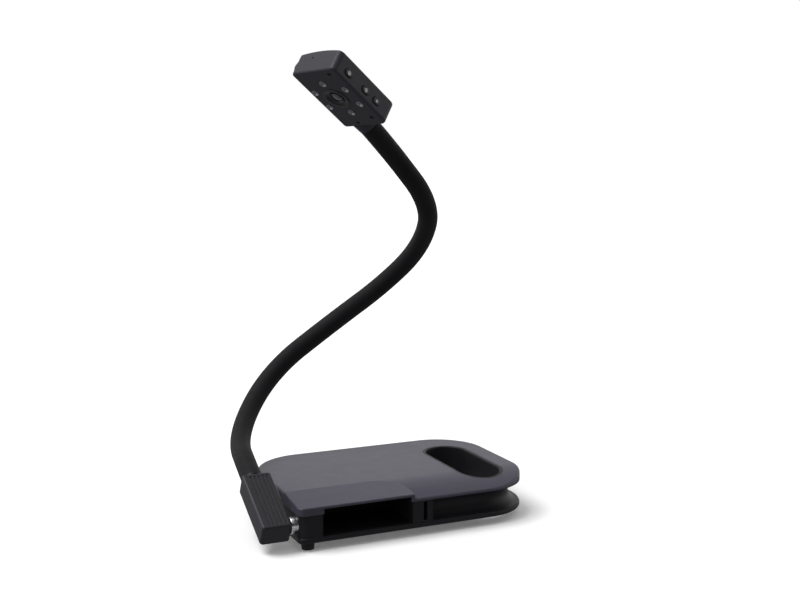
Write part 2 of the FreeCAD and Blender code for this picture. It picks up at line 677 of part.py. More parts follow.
def build_neck():
    arcs = neck_arcs()
    for number, arc in enumerate(arcs, 1):
        body = tube(arc, NECK_RADIUS)
        last = number == len(arcs)
        if not last:
            body = body.fuse(ball_on(BALL_RADIUS, arc["end"], arc["leaving"]))
        below = rod(30, arc["start"] - arc["entering"] * 20, arc["start"] + arc["entering"] * CUP_EDGE)
        body = body.cut(ball_on(CUP_RADIUS, arc["start"], arc["entering"])).cut(below)
        reach = arc["end"] + arc["leaving"] * 10
        bore = tube(arc, CORE_BORE).fuse(rod(CORE_BORE, arc["end"], reach))
        wire = tube(arc, CORE_RADIUS).fuse(rod(CORE_RADIUS, arc["end"], reach))
        save("neck_sleeve_%d" % number, body.cut(bore))
        save("neck_core_%d" % number, body.common(wire))
        print("  arc", number, "radius", round(arc["radius"]), "length", round(arc["length"], 1),
              "start", [round(c, 2) for c in arc["start"]],
              "entering", [round(c, 4) for c in arc["entering"]])


# ---------------------------------------------------------------- camera head

def head_placement():
    """Where the head's own frame sits, with the end of the neck on the collar's axis."""
    last = neck_arcs()[-1]
    long_axis = Vector(LONG_AIM).normalize()
    aim = (LENS_AIM - long_axis * LENS_AIM.dot(long_axis)).normalize()
    left = aim.cross(long_axis)
    origin = last["end"] - long_axis * NECK_END - left * NECK_AXIS_Y - aim * NECK_AXIS_Z
    matrix = Matrix(long_axis.x, left.x, aim.x, origin.x,
                    long_axis.y, left.y, aim.y, origin.y,
                    long_axis.z, left.z, aim.z, origin.z, 0, 0, 0, 1)
    return Placement(matrix)


def save_head(name, shape):
    """Write a piece that was drawn in the head's own frame."""
    placed = shape.copy()
    placed.Placement = head_placement()
    save(name, placed)


def head_plan(inset, z0, z1):
    """The head's outline, drawn in by inset, as a block between two heights."""
    radii = [radius - inset for radius in HEAD_CORNER_RADII]
    return rounded_block(HEAD_NEAR + inset, HEAD_FAR - inset, HEAD_BUTTON_SIDE + inset,
                         HEAD_DIAL_SIDE - inset, z0, z1, radii)


def head_crown(inset):
    """The large roller that gives the head its crowned back, made smaller by inset."""
    z = HEAD_BACK + HEAD_CROWN_RADIUS
    return rod(HEAD_CROWN_RADIUS - inset, Vector(-REACH, HEAD_CROWN_Y, z), Vector(REACH, HEAD_CROWN_Y, z))


def on_neck_axis(radius, x0, x1):
    """A round bar in the head's frame, on the line of the neck's end."""
    return rod(radius, Vector(x0, NECK_AXIS_Y, NECK_AXIS_Z), Vector(x1, NECK_AXIS_Y, NECK_AXIS_Z))


def oval(x, z, length, height, y0, y1):
    """A stadium-shaped bar that runs through the button side."""
    radius = height / 2
    reach = length / 2 - radius
    return fused([
        box(x - reach, x + reach, y0, y1, z - radius, z + radius),
        rod(radius, Vector(x - reach, y0, z), Vector(x - reach, y1, z)),
        rod(radius, Vector(x + reach, y0, z), Vector(x + reach, y1, z)),
    ])


def lamp_places():
    for number in range(LAMP_COUNT):
        angle = math.radians(360.0 * number / LAMP_COUNT)
        y = LAMP_CENTRE_Y + LAMP_CIRCLE * math.sin(angle) * LAMP_SQUEEZE
        yield LAMP_CIRCLE * math.cos(angle), y


def dial_centre():
    return Vector(DIAL_X, HEAD_DIAL_SIDE + DIAL_PROUD - DIAL_RADIUS, DIAL_Z)


def build_head_covers():
    reach = DIAL_THICKNESS / 2 + 0.4
    dial_window = box(DIAL_X - reach, DIAL_X + reach, HEAD_DIAL_SIDE - 11, HEAD_DIAL_SIDE + 6,
                      DIAL_Z - DIAL_RADIUS - 0.35, DIAL_Z + DIAL_RADIUS + 0.35)
    spigot_hole = on_neck_axis(SPIGOT_RADIUS + 0.05, COLLAR_END, HEAD_NEAR + 2.4)
    front = head_plan(0, HEAD_SEAM, 0)
    front = soften(front, HEAD_FACE_FILLET, level_edge(0))
    cuts = [head_plan(HEAD_WALL, HEAD_SEAM - 1, -HEAD_FACE_WALL), upright(BEZEL_SPIGOT + FIT, 0, 0, -5, 1)]
    for x, y in lamp_places():
        cuts.append(upright(LAMP_CUP_RADIUS + RUNNING_GAP, x, y, -5, 1))
    for x in BUTTON_PLACES.values():
        cuts.append(oval(x, BUTTON_Z, BUTTON_LENGTH, BUTTON_HEIGHT,
                         HEAD_BUTTON_SIDE - 3, HEAD_BUTTON_SIDE + 6))
    cuts.append(dial_window)
    for x, y in HEAD_SCREW_PLACES:
        cuts.append(upright(2.0, x, y, -1.4, 1))
        cuts.append(upright(1.1, x, y, -10, 1))
    cuts.append(spigot_hole.common(box(-REACH, 0, -REACH, REACH, HEAD_SEAM, 0)))
    front = cut_away(front, cuts)
    posts = []
    for x, y in HEAD_SCREW_PLACES:
        post = upright(2.6, x, y, HEAD_SEAM, -HEAD_FACE_WALL + 0.2)
        posts.append(post.cut(upright(1.1, x, y, HEAD_SEAM, 1)))
    save_head("head_front_cover", fused([front] + posts))

    back = head_plan(0, HEAD_BACK - 1, HEAD_SEAM).common(head_crown(0))
    rim = [e for e in back.Edges if e.BoundBox.ZMax < HEAD_SEAM - 2.5
           and e.BoundBox.DiagonalLength > 4]
    back = back.makeFillet(HEAD_BACK_FILLET, rim)
    hollow = head_plan(HEAD_WALL, HEAD_BACK - 1, HEAD_SEAM + 1).common(head_crown(HEAD_WALL))
    microphone_hole = rod(0.8, Vector(HEAD_FAR - 4, MICROPHONE_Y, MICROPHONE_Z),
                          Vector(HEAD_FAR + 2, MICROPHONE_Y, MICROPHONE_Z))
    back = cut_away(back, [hollow, microphone_hole, spigot_hole, dial_window])
    pads = []
    for x, y in HEAD_SCREW_PLACES:
        pad = upright(2.6, x, y, HEAD_BACK, HEAD_SEAM).common(head_crown(1.0))
        pads.append(pad.cut(upright(0.95, x, y, HEAD_SEAM - 4.2, 0)))
    save_head("head_back_cover", fused([back] + pads))

    screws = [put(screw(1.85, 1.1, 0.9, 16.0, 0.7), Vector(x, y, -0.3))
              for x, y in HEAD_SCREW_PLACES]
    save_head("head_screws", Part.makeCompound(screws))

    collar = cone(COLLAR_NECK_RADIUS, COLLAR_HEAD_RADIUS, Vector(COLLAR_END, NECK_AXIS_Y, NECK_AXIS_Z),
                  Vector(HEAD_NEAR, NECK_AXIS_Y, NECK_AXIS_Z))
    collar = fused([collar, on_neck_axis(SPIGOT_RADIUS, HEAD_NEAR, HEAD_NEAR + 2.3)])
    shoulder = NECK_END + 6.4
    bore = on_neck_axis(TURN_PIN_RADIUS + RUNNING_GAP, NECK_END, HEAD_NEAR + 5)
    room = on_neck_axis(TURN_PIN_HEAD + 0.2, shoulder, HEAD_NEAR + 5)
    save_head("neck_collar", cut_away(collar, [bore, room]))
    pin = fused([on_neck_axis(TURN_PIN_RADIUS, NECK_END + 0.3, shoulder + 1.6),
                 on_neck_axis(TURN_PIN_HEAD, shoulder + 0.1, shoulder + 1.6)])
    save_head("head_turn_pin", pin)


def build_lens_and_lamps():
    bezel = fused([upright(BEZEL_RADIUS, 0, 0, 0, BEZEL_PROUD), upright(BEZEL_SPIGOT, 0, 0, -2.2, 0)])
    bezel = soften(bezel, 0.5, level_edge(BEZEL_PROUD))
    bezel = bezel.cut(upright(BARREL_RADIUS + RUNNING_GAP, 0, 0, -5, 5))
    dish = cone(BARREL_RADIUS + RUNNING_GAP, 10.4, Vector(0, 0, -0.6), Vector(0, 0, BEZEL_PROUD + 0.1))
    save_head("lens_bezel", bezel.cut(dish))
    barrel = upright(BARREL_RADIUS, 0, 0, -9.0, 0.1)
    barrel = barrel.cut(upright(LENS_RADIUS + RUNNING_GAP, 0, 0, -10, 3))
    save_head("lens_barrel", barrel.cut(cone(LENS_RADIUS + RUNNING_GAP, 6.4, Vector(0, 0, -1.4),
                                             Vector(0, 0, 0.2))))
    glass_ball = Part.makeSphere(LENS_CURVE, Vector(0, 0, -LENS_CURVE - 0.2))
    save_head("lens_glass", upright(LENS_RADIUS, 0, 0, -3.4, 2).common(glass_ball))
    save_head("image_sensor", box(-4.6, 4.6, -3.8, 3.8, -10.6, -9.2))
    board = rounded_block(-24, 20, -16, 16, -11.8, -10.6, 1.5)
    save_head("sensor_board", board)

    ring = upright(LAMP_BOARD_RADIUS, 0, LAMP_CENTRE_Y, -4.6, -3.6).cut(upright(7.6, 0, 0, -6, 0))
    ring = ring.common(box(-REACH, REACH, LAMP_CENTRE_Y - 21, LAMP_CENTRE_Y + 21, -6, 0))
    ring = cut_away(ring, [upright(2.9, x, y, -6, 0) for x, y in HEAD_SCREW_PLACES])
    save_head("lamp_board", ring)
    lamps = []
    cups = []
    for x, y in lamp_places():
        dome = Part.makeSphere(LAMP_RADIUS, Vector(x, y, -1.6))
        lamps.append(fused([upright(LAMP_RADIUS, x, y, -3.6, -1.6), dome]))
        cup = upright(LAMP_CUP_RADIUS, x, y, -3.6, 0.5)
        well = cone(LAMP_RADIUS + FIT, LAMP_CUP_RADIUS - 0.4, Vector(x, y, -2.6), Vector(x, y, 0.6))
        cups.append(cup.cut(upright(LAMP_RADIUS + FIT, x, y, -4, 1)).cut(well))
    save_head("lamps", Part.makeCompound(lamps))
    save_head("lamp_cups", Part.makeCompound(cups))


def build_controls():
    side = HEAD_BUTTON_SIDE
    for name, x in BUTTON_PLACES.items():
        cap = oval(x, BUTTON_Z, BUTTON_LENGTH - 0.7, BUTTON_HEIGHT - 0.7, BUTTON_FACE, side + 2.2)
        cap = soften(cap, 0.7, lambda e: abs(e.BoundBox.YMax - BUTTON_FACE) < 0.01)
        flange = oval(x, BUTTON_Z, BUTTON_LENGTH + 1.4, BUTTON_HEIGHT + 1.4, side + 2.0, side + 2.8)
        save_head(name, fused([cap, flange]))
    board = box(-25.5, 26.0, BUTTON_BOARD_Y, BUTTON_BOARD_Y + 1, BUTTON_Z - 4, BUTTON_Z + 3)
    save_head("button_board", board)
    switches = [box(x - 2, x + 2, BUTTON_BOARD_Y - 1.7, BUTTON_BOARD_Y, BUTTON_Z - 2, BUTTON_Z + 2)
                for x in BUTTON_PLACES.values()]
    save_head("button_switches", Part.makeCompound(switches))
    save_head("microphone", rod(1.1, Vector(HEAD_FAR - 4.2, MICROPHONE_Y, MICROPHONE_Z),
                                Vector(HEAD_FAR - 2.0, MICROPHONE_Y, MICROPHONE_Z)))

    centre = dial_centre()
    half = DIAL_THICKNESS / 2
    wheel = rod(DIAL_RADIUS, centre - Vector(half, 0, 0), centre + Vector(half, 0, 0))
    wheel = wheel.makeFillet(0.6, [e for e in wheel.Edges if e.BoundBox.XLength < 0.01])
    notches = []
    for number in range(DIAL_NOTCHES):
        angle = 2 * math.pi * number / DIAL_NOTCHES
        out = Vector(0, math.cos(angle), math.sin(angle)) * (DIAL_RADIUS + 0.25)
        notches.append(rod(0.55, centre + out - Vector(4, 0, 0), centre + out + Vector(4, 0, 0)))
    axle = rod(AXLE_RADIUS, centre - Vector(half + 1.9, 0, 0), centre)
    save_head("light_dial", fused([cut_away(wheel, notches), axle]))
    holder = box(centre.x - half - 1.7, centre.x - half - 0.3, HEAD_DIAL_SIDE - 12,
                 HEAD_DIAL_SIDE - HEAD_WALL - FIT, DIAL_Z - 2.6, DIAL_Z + 2.6)
    bore = rod(AXLE_RADIUS + RUNNING_GAP, centre - Vector(8, 0, 0), centre)
    save_head("dial_holder", holder.cut(bore))


def main():
    os.makedirs("parts", exist_ok=True)
    build_bottom_plate()
    build_side_shell()
    build_cover()
    build_inside()
    build_hinge()
    build_arm()
    build_neck()
    build_head_covers()
    build_lens_and_lamps()
    build_controls()


main()
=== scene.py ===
import json
import math

import bmesh
import bpy
from mathutils import Matrix, Vector


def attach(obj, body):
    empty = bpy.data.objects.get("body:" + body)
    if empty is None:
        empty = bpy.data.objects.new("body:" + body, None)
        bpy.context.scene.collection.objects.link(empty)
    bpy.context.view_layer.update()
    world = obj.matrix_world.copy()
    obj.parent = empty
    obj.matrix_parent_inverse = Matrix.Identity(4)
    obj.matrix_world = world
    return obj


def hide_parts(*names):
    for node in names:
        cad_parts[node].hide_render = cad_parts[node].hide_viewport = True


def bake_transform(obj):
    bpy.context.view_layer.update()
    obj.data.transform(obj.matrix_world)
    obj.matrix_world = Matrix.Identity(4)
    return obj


# The looks of a gooseneck document camera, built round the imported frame. Metres, in the CAD's frame.

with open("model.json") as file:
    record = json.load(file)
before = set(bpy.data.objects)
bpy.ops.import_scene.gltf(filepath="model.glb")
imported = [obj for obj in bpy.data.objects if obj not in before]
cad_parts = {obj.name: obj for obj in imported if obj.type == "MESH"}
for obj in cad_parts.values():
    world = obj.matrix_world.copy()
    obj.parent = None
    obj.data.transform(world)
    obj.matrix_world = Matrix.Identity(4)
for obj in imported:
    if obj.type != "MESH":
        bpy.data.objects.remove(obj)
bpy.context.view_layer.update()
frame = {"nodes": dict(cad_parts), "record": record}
MM = 0.001


def mm(x, y, z):
    """A point given in millimetres."""
    return Vector((x * MM, y * MM, z * MM))


# ------------------------------------------------------------------ the neck's line, as in the part

NECK_RADIUS = 9.4 * MM
SLEEVE_BORE = 5.0 * MM
HINGE_POINT = mm(-135.6, -65.7, 20.64)
NECK_ROOT_REACH = 60.5 * MM
ARM_TILT = math.radians(27.0)
ARM_DIRECTION = Vector((0.0, math.cos(ARM_TILT), math.sin(ARM_TILT)))
NECK_ROOT = HINGE_POINT + ARM_DIRECTION * NECK_ROOT_REACH
NECK_STATIONS = [
    mm(-132.5, 29.0, 61.5),
    mm(-98.0, 94.0, 98.0),
    mm(-49.5, 103.5, 141.5),
    mm(11.5, 95.5, 185.0),
    mm(48.0, 76.0, 220.5),
    mm(54.0, 28.5, 268.0),
    mm(31.0, 11.5, 307.5),
    mm(-16.73, 4.33, 357.73),
]
RINGS_PER_ARC = 24
HALF_ARC = RINGS_PER_ARC // 2
RING_POINTS = 40
SHARP_ANGLE = 40.0

# ------------------------------------------------------------------ the head's own frame, as in the part

LONG_AIM = Vector((-0.765, -0.295, 0.572))
LENS_AIM = Vector((-0.512, -0.26, -0.819))
NECK_END_X = -52.0 * MM
SLEEVE_END_X = -50.9 * MM
NECK_AXIS_Y = 9.4 * MM
NECK_AXIS_Z = -9.75 * MM
# The buttons' places along x and z, and their marks, in millimetres.
BUTTON_PLACES = {"far_button": (20.5, -8.2), "middle_button": (-3.0, -8.2), "near_button": (-18.5, -8.2)}
BUTTON_FACE_Y = -29.1
MARK_THICKNESS = 0.12
MARK_SUNK = 0.05


def head_frame(neck_end):
    """The head's frame as a matrix: x to its far end, y to the left, z out of the lens."""
    x = LONG_AIM.normalized()
    z = (LENS_AIM - x * LENS_AIM.dot(x)).normalized()
    y = z.cross(x)
    origin = neck_end - x * NECK_END_X - y * NECK_AXIS_Y - z * NECK_AXIS_Z
    columns = Matrix((x, y, z)).transposed().to_4x4()
    return Matrix.Translation(origin) @ columns


def neck_rings():
    """Points along the neck with a side and an up direction at each, carried along without twist."""
    rings = []
    start, heading = NECK_ROOT, ARM_DIRECTION.copy()
    side = Vector((1.0, 0.0, 0.0))
    for number, end in enumerate(NECK_STATIONS):
        chord = end - start
        half_turn = heading.angle(chord)
        sideways = (chord.normalized() - heading * math.cos(half_turn)).normalized()
        radius = chord.length / (2 * math.sin(half_turn))
        for step in range(1 if number else 0, RINGS_PER_ARC + 1):
            turn = 2 * half_turn * step / RINGS_PER_ARC
            point = start + heading * (radius * math.sin(turn)) + sideways * (radius * (1 - math.cos(turn)))
            along = heading * math.cos(turn) + sideways * math.sin(turn)
            side = (side - along * side.dot(along)).normalized()
            rings.append((point, along, side.copy(), along.cross(side)))
        heading = rings[-1][1]
        start = end
    return rings


RINGS = neck_rings()
HEAD = head_frame(RINGS[-1][0])


# ------------------------------------------------------------------ meshes

def link(name, mesh):
    """A new object from a mesh."""
    piece = bpy.data.objects.new(name, mesh)
    bpy.context.scene.collection.objects.link(piece)
    return piece


def mesh_from(name, points, faces):
    """A smooth-shaded object from points and faces, with sharp edges kept where faces meet steeply."""
    mesh = bpy.data.meshes.new(name)
    mesh.from_pydata([tuple(p) for p in points], [], faces)
    bm = bmesh.new()
    bm.from_mesh(mesh)
    bmesh.ops.recalc_face_normals(bm, faces=bm.faces)
    bm.to_mesh(mesh)
    bm.free()
    mesh.polygons.foreach_set("use_smooth", [True] * len(mesh.polygons))
    mesh.set_sharp_from_angle(angle=math.radians(SHARP_ANGLE))
    return link(name, mesh)


def joined_rings(rows):
    """Faces between rings of the same number of points, with the last ring joined to the first."""
    count = len(rows[0])
    faces = []
    for row in range(len(rows)):
        here, there = row * count, ((row + 1) % len(rows)) * count
        for i in range(count):
            j = (i + 1) % count
            faces.append((here + i, here + j, there + j, there + i))
    return faces


def sleeve_ring(index, radius):
    """Points round the neck at one of its rings."""
    point, _, side, up = RINGS[index]
    return [point + (side * math.cos(a) + up * math.sin(a)) * radius
            for a in (2 * math.pi * i / RING_POINTS for i in range(RING_POINTS))]


def onto_collar(row):
    """The neck's last points, carried straight on until they nearly meet the head's collar."""
    along, aim = RINGS[-1][1], HEAD.col[0].xyz
    face = HEAD @ Vector((SLEEVE_END_X, 0.0, 0.0))
    return [point + along * ((face - point).dot(aim) / along.dot(aim)) for point in row]


def neck_sleeve(name, first, last, meets_collar=False):
    """A closed length of sleeve, outer skin and bore, along the rings from first to last."""
    outer = [sleeve_ring(i, NECK_RADIUS) for i in range(first, last + 1)]
    bore = [sleeve_ring(i, SLEEVE_BORE) for i in range(last, first - 1, -1)]
    if meets_collar:
        outer.append(onto_collar(outer[-1]))
        bore.insert(0, onto_collar(bore[0]))
    rows = outer + bore
    return mesh_from(name, [p for row in rows for p in row], joined_rings(rows))


# ------------------------------------------------------------------ materials

class Finish:
    """One procedural material, wired up a node at a time."""

    def __init__(self, name):
        self.material = bpy.data.materials.new(name)
        self.material.use_nodes = True
        self.tree = self.material.node_tree
        self.shader = self.tree.nodes["Principled BSDF"]
        self.place = self.add("ShaderNodeTexCoord").outputs["Object"]

    def add(self, kind, **values):
        """A new node; each value sets a property of the node, or else the input of that name."""
        node = self.tree.nodes.new(kind)
        for key, value in values.items():
            if hasattr(node, key):
                setattr(node, key, value)
            else:
                node.inputs[key.replace("_", " ")].default_value = value
        return node

    def wire(self, source, node, socket):
        """Join an output to a node's input."""
        self.tree.links.new(source, node.inputs[socket])

    def noise(self, size, detail=3.0, rough=0.55, stretch=None):
        """Noise whose lumps are about size millimetres across; stretch scales the axes."""
        source = self.place
        if stretch:
            mapping = self.add("ShaderNodeMapping", Scale=stretch)
            self.wire(source, mapping, "Vector")
            source = mapping.outputs[0]
        node = self.add("ShaderNodeTexNoise", Scale=1.0 / (size * MM), Detail=detail, Roughness=rough)
        self.wire(source, node, "Vector")
        return node.outputs["Fac"]

    def cells(self, size, feature="F1", randomness=1.0):
        """Distance in a cell pattern whose cells are about size millimetres."""
        node = self.add("ShaderNodeTexVoronoi", feature=feature, Scale=1.0 / (size * MM),
                        Randomness=randomness)
        self.wire(self.place, node, "Vector")
        return node.outputs["Distance"]

    def graded(self, source, *stops):
        """A colour ramp: stops are (position, colour)."""
        node = self.add("ShaderNodeValToRGB")
        ramp = node.color_ramp
        while len(ramp.elements) < len(stops):
            ramp.elements.new(0.5)
        for element, (position, colour) in zip(ramp.elements, stops):
            element.position = position
            element.color = (*colour, 1.0)
        self.wire(source, node, "Fac")
        return node.outputs["Color"]

    def ranged(self, source, low, high, from_low=0.3, from_high=0.7):
        """The source's span from from_low to from_high, stretched to low to high and held there."""
        node = self.add("ShaderNodeMapRange", clamp=True)
        for socket, value in ((1, from_low), (2, from_high), (3, low), (4, high)):
            node.inputs[socket].default_value = value
        self.wire(source, node, 0)
        return node.outputs[0]

    def mixed(self, factor, first, second):
        """Colour between first and second; either may be a colour or a socket."""
        node = self.add("ShaderNodeMix", data_type="RGBA")
        self.wire(factor, node, 0)
        for socket, value in ((6, first), (7, second)):
            if isinstance(value, tuple):
                node.inputs[socket].default_value = (*value, 1.0)
            else:
                self.wire(value, node, socket)
        return node.outputs[2]

    def maths(self, operation, first, second):
        """One sum of two values; either may be a number or a socket."""
        node = self.add("ShaderNodeMath", operation=operation)
        for socket, value in ((0, first), (1, second)):
            if isinstance(value, (int, float)):
                node.inputs[socket].default_value = value
            else:
                self.wire(value, node, socket)
        return node.outputs[0]

    def rounded(self, radius):
        """The surface direction with edges rounded over radius millimetres."""
        return self.add("ShaderNodeBevel", samples=4, Radius=radius * MM).outputs[0]

    def edge_mask(self, radius):
        """About 1 near a hard edge and 0 on an open face."""
        dot = self.add("ShaderNodeVectorMath", operation="DOT_PRODUCT")
        self.wire(self.rounded(radius), dot, 0)
        self.wire(self.add("ShaderNodeNewGeometry").outputs["Normal"], dot, 1)
        return self.ranged(dot.outputs["Value"], 1.0, 0.0, 0.80, 0.995)

    def bumped(self, height, strength, depth, under=None):
        """A bump depth millimetres deep on top of another surface direction."""
        node = self.add("ShaderNodeBump", Strength=strength, Distance=depth * MM)
        self.wire(height, node, "Height")
        if under:
            self.wire(under, node, "Normal")
        return node.outputs[0]

    def set(self, **values):
        """Shader inputs: a socket is wired, a number or colour is put on the shader itself."""
        for key, value in values.items():
            name = key.replace("_", " ")
            if isinstance(value, bpy.types.NodeSocket):
                self.wire(value, self.shader, name)
            elif isinstance(value, tuple):
                self.shader.inputs[name].default_value = (*value, 1.0)
            else:
                self.shader.inputs[name].default_value = value
        return self.material


def scaled(colour, factor):
    """A colour made brighter or darker."""
    return tuple(c * factor for c in colour)


def moulded(name, colour, rough, specular, grain=0.55, wear_and_highlight_tone=None, edge=0.35, uneven=1.0):
    """Moulded plastic: a fine spark-eroded grain, faint flow marks and edges painted lighter, partly as
    rubbed wear and partly as a painted edge highlight.
    """
    f = Finish(name)
    broad = f.noise(38.0, 2.0)
    flow = f.noise(9.0, 4.0, stretch=(0.35, 1.0, 1.0))
    fine = f.noise(grain, 4.0, 0.6)
    pits = f.cells(grain * 1.5)
    tone = f.mixed(f.ranged(broad, 0.0, uneven), scaled(colour, 0.96), scaled(colour, 1.07))
    tone = f.mixed(f.ranged(flow, 0.0, 0.35 * uneven), tone, scaled(colour, 1.12))
    tone = f.mixed(f.ranged(fine, 0.0, 0.25, 0.45, 0.75), tone, scaled(colour, 0.72))
    # Edges painted lighter: partly rubbed wear, partly a painted highlight along every edge.
    wear_and_highlight_mask = f.maths("MULTIPLY", f.edge_mask(edge), f.ranged(f.noise(4.0, 5.0), 0.25, 1.0))
    tone = f.mixed(f.maths("MULTIPLY", wear_and_highlight_mask, 0.5), tone, wear_and_highlight_tone or scaled(colour, 2.1))
    smudge = f.ranged(f.noise(14.0, 5.0, 0.65), rough - 0.04 * uneven, rough + 0.05 * uneven)
    roughness = f.maths("SUBTRACT", smudge, f.maths("MULTIPLY", wear_and_highlight_mask, 0.10))
    height = f.maths("ADD", f.maths("MULTIPLY", fine, 0.7), f.maths("MULTIPLY", pits, 0.5))
    normal = f.bumped(height, 0.35, 0.02, f.rounded(edge))
    f.set(Base_Color=tone, Roughness=roughness, Normal=normal, Specular_IOR_Level=specular)
    return f.material


def rubbery(name, colour, rough, grain=0.35, specular=0.22):
    """Soft rubber: a matte, finely mottled skin with dusty lighter patches."""
    f = Finish(name)
    fine = f.noise(grain, 5.0, 0.65)
    dust = f.noise(16.0, 5.0, 0.62)
    streak = f.noise(5.0, 3.0)
    tone = f.mixed(f.ranged(dust, 0.0, 0.45, 0.45, 0.75), colour, scaled(colour, 1.7))
    tone = f.mixed(f.ranged(fine, 0.0, 0.4), tone, scaled(colour, 0.65))
    roughness = f.maths("ADD", f.ranged(streak, rough - 0.05, rough + 0.05), f.ranged(fine, -0.03, 0.03))
    normal = f.bumped(f.maths("ADD", fine, f.maths("MULTIPLY", f.cells(grain * 2.2), 0.6)), 0.4, 0.03)
    return f.set(Base_Color=tone, Roughness=roughness, Normal=normal, Specular_IOR_Level=specular,
                 Sheen_Weight=0.04, Sheen_Roughness=0.6)


def metal(name, colour, rough, brushed=(1.0, 14.0, 14.0), tarnish=0.25):
    """Bare metal with fine turning lines, a little tarnish and slightly rounded edges."""
    f = Finish(name)
    lines = f.noise(1.6, 6.0, 0.7, stretch=brushed)
    stain = f.noise(6.0, 4.0)
    tone = f.mixed(f.ranged(stain, 0.0, tarnish), colour, scaled(colour, 0.55))
    tone = f.mixed(f.ranged(lines, 0.0, 0.3), tone, scaled(colour, 0.78))
    roughness = f.maths("ADD", f.ranged(lines, rough - 0.05, rough + 0.09), f.ranged(stain, 0.0, 0.07))
    normal = f.bumped(lines, 0.18, 0.01, f.rounded(0.15))
    return f.set(Base_Color=tone, Metallic=1.0, Roughness=roughness, Normal=normal)


def circuit_board():
    """Green solder mask over copper tracks, with plated holes."""
    f = Finish("circuit_board")
    tracks = f.add("ShaderNodeTexBrick", Scale=1.0, Mortar_Size=0.00022, Brick_Width=0.0042,
                   Row_Height=0.0016)
    f.wire(f.place, tracks, "Vector")
    holes = f.ranged(f.cells(4.2, randomness=0.8), 1.0, 0.0, 0.10, 0.14)
    mask = f.mixed(tracks.outputs["Fac"], (0.008, 0.085, 0.035), (0.015, 0.15, 0.06))
    mask = f.mixed(f.ranged(f.noise(11.0), 0.0, 0.35), mask, (0.006, 0.06, 0.03))
    tone = f.mixed(holes, mask, (0.75, 0.62, 0.36))
    height = f.maths("ADD", tracks.outputs["Fac"], holes)
    return f.set(Base_Color=tone, Metallic=holes, Roughness=f.ranged(f.noise(2.5), 0.28, 0.42),
                 Normal=f.bumped(height, 0.5, 0.03), Coat_Weight=0.3, Coat_Roughness=0.15)


def chip_black():
    """Chip packages: dull black resin with a faint moulded speckle."""
    f = Finish("chip_black")
    speckle = f.noise(0.25, 4.0, 0.7)
    tone = f.mixed(f.ranged(speckle, 0.0, 1.0), (0.010, 0.010, 0.011), (0.032, 0.032, 0.034))
    return f.set(Base_Color=tone, Roughness=f.ranged(speckle, 0.55, 0.75),
                 Normal=f.bumped(speckle, 0.4, 0.02, f.rounded(0.15)))


def lens_glass():
    """Coated glass: nearly black, with a painted violet reflection of the coating that shifts with the
    viewing angle towards the rim, and a few dust specks.
    """
    f = Finish("lens_glass")
    # Colour by viewing angle: a painted coating reflection, violet and lighter at middle angles, greenish at
    # the rim.
    facing = f.add("ShaderNodeLayerWeight", Blend=0.35).outputs["Facing"]
    tone = f.graded(facing, (0.0, (0.035, 0.028, 0.055)), (0.45, (0.075, 0.060, 0.105)),
                    (1.0, (0.035, 0.055, 0.060)))
    dust = f.ranged(f.cells(0.9), 1.0, 0.0, 0.02, 0.05)
    tone = f.mixed(f.maths("MULTIPLY", dust, 0.5), tone, (0.35, 0.34, 0.36))
    roughness = f.maths("ADD", f.ranged(f.noise(2.2), 0.03, 0.09), f.maths("MULTIPLY", dust, 0.25))
    return f.set(Base_Color=tone, Roughness=roughness, Normal=f.bumped(f.noise(3.0), 0.05, 0.01),
                 Coat_Weight=1.0, Coat_Roughness=0.03, Specular_IOR_Level=0.8)


def lamp_clear():
    """The lamps' clear resin: pale, slightly milky, with a warm emitter showing inside and a painted
    reflection lightening it towards the rim.
    """
    f = Finish("lamp_clear")
    facing = f.add("ShaderNodeLayerWeight", Blend=0.5).outputs["Facing"]
    milky = f.ranged(f.noise(0.8), 0.0, 0.3)
    # Face-on the warm emitter shows; towards the rim the resin is painted lighter as a reflection.
    tone = f.graded(facing, (0.0, (0.16, 0.14, 0.09)), (0.35, (0.10, 0.10, 0.11)), (1.0, (0.30, 0.30, 0.33)))
    tone = f.mixed(milky, tone, (0.34, 0.34, 0.36))
    return f.set(Base_Color=tone, Roughness=f.ranged(f.noise(0.5), 0.08, 0.2),
                 Normal=f.bumped(f.noise(0.7), 0.1, 0.01), Coat_Weight=0.6, Coat_Roughness=0.06)


def printed(name, colour):
    """Pad-printed ink: slightly uneven, a touch thinner where fingers rub."""
    f = Finish(name)
    thin = f.noise(0.35, 5.0, 0.7)
    tone = f.mixed(f.ranged(thin, 0.0, 0.45), colour, scaled(colour, 0.62))
    return f.set(Base_Color=tone, Roughness=f.ranged(f.noise(0.8), 0.45, 0.62),
                 Normal=f.bumped(thin, 0.3, 0.01))


